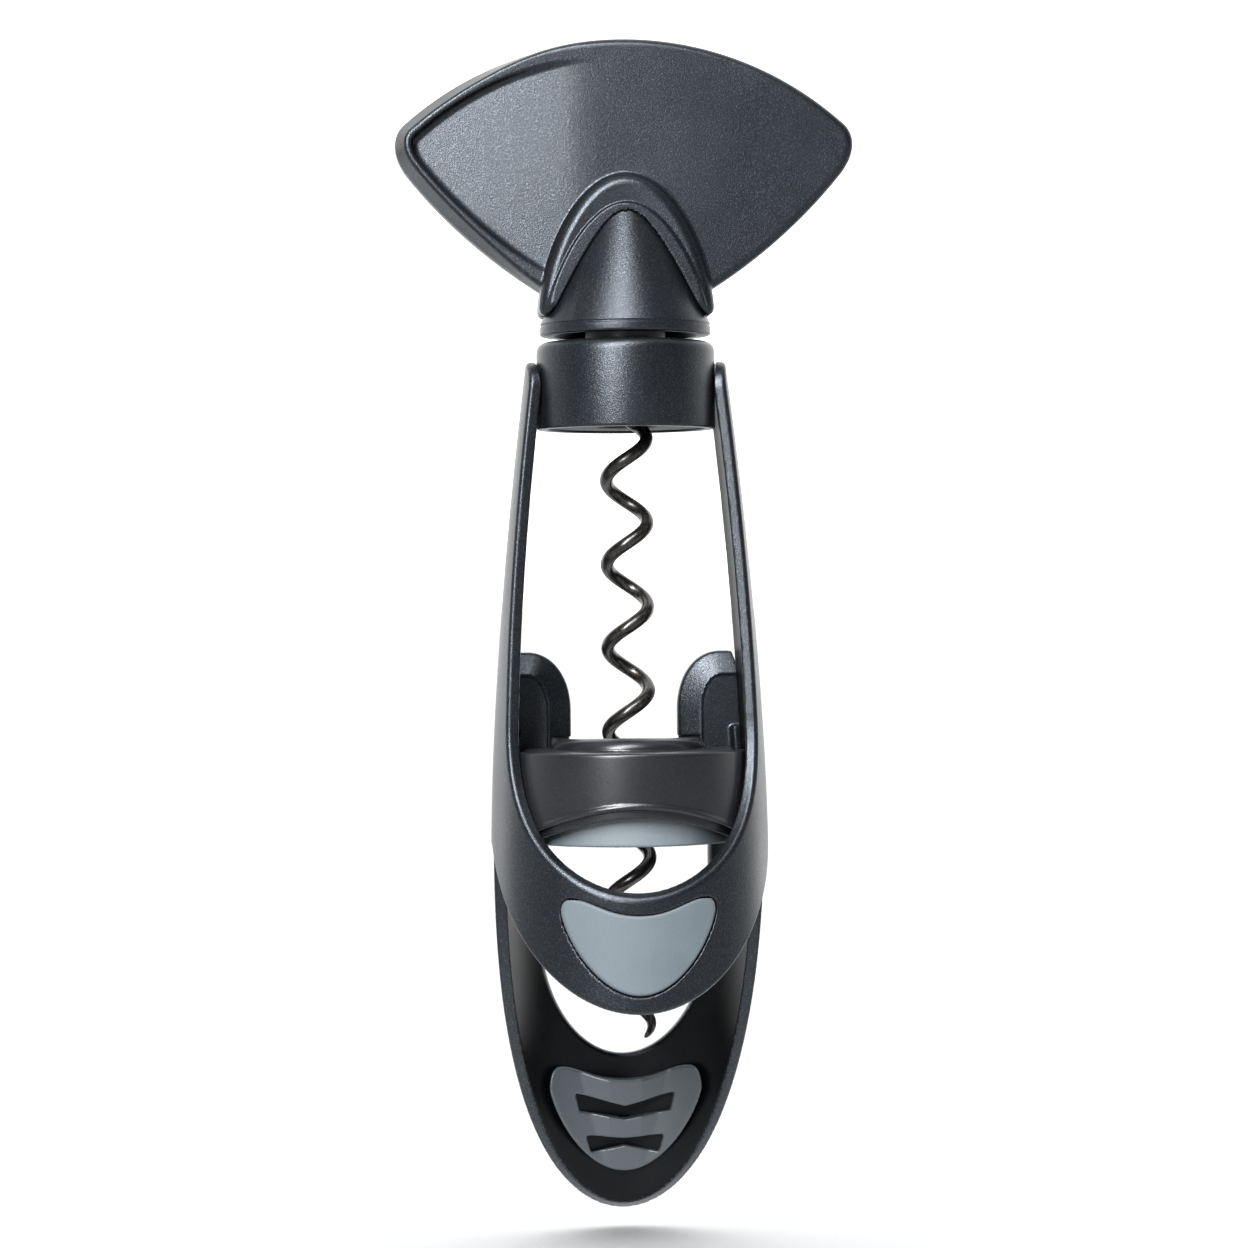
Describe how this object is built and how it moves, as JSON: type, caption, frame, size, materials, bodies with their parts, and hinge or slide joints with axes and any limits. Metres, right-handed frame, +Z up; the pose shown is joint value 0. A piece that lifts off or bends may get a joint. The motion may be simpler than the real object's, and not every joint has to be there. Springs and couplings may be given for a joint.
{
  "type": "self-pulling wing-handled corkscrew",
  "caption": "Hand corkscrew: a wing handle turns a worm inside a barrel frame that clamps the bottle's neck between a fixed front jaw and a swinging rear jaw.",
  "frame": {"origin": "on the worm's axis, in the plane where the bottle's mouth enters the centring ring", "axes": "+Z up along the worm towards the handle, -Y towards the fixed front jaw, +X to the right of someone facing it"},
  "size_m": [0.0824, 0.0496, 0.2145],
  "materials": {
    "charcoal_shell": "dark charcoal pearl with a fine moulded grain",
    "charcoal_inner": "dark charcoal, satin",
    "grip_pad": "matte blue-grey grip rubber",
    "pale_ring": "satin blue-grey",
    "bush_plastic": "smooth dark bearing plastic",
    "worm_coating": "black low-friction coating, semi-gloss",
    "bright_steel": "turned steel"
  },
  "bodies": {
    "body": {"frame": "charcoal_shell", "collar_cap": "charcoal_shell", "collar_floor": "charcoal_inner", "guide_ring": "charcoal_inner", "centring_ring": "pale_ring", "front_grip_pad": "grip_pad", "left_hinge_pin": "bright_steel", "right_hinge_pin": "bright_steel"},
    "swinging_jaw": {"rear_jaw": "charcoal_shell", "rear_grip_pad": "grip_pad"},
    "lifting_bush": {"guide_bush": "bush_plastic", "thrust_washer": "bright_steel"},
    "turning_handle": {"spindle": "bright_steel", "spindle_clip": "bright_steel", "worm": "worm_coating", "cross_pin": "bright_steel", "hub_cone": "charcoal_shell", "handle_front": "charcoal_shell", "handle_back": "charcoal_shell"}
  },
  "joints": [
    {"name": "jaw_swing", "type": "hinge", "parent": "body", "child": "swinging_jaw", "pos_m": [0, 0, 0.0085], "axis": [-1, 0, 0], "range_deg": [0, 8]},
    {"name": "worm_lift", "type": "slide", "parent": "body", "child": "lifting_bush", "axis": [0, 0, 1], "range_m": [0, 0.06]},
    {"name": "handle_turn", "type": "hinge", "parent": "lifting_bush", "child": "turning_handle", "pos_m": [0, 0, 0.09], "axis": [0, 0, -1], "continuous": true}
  ]
}
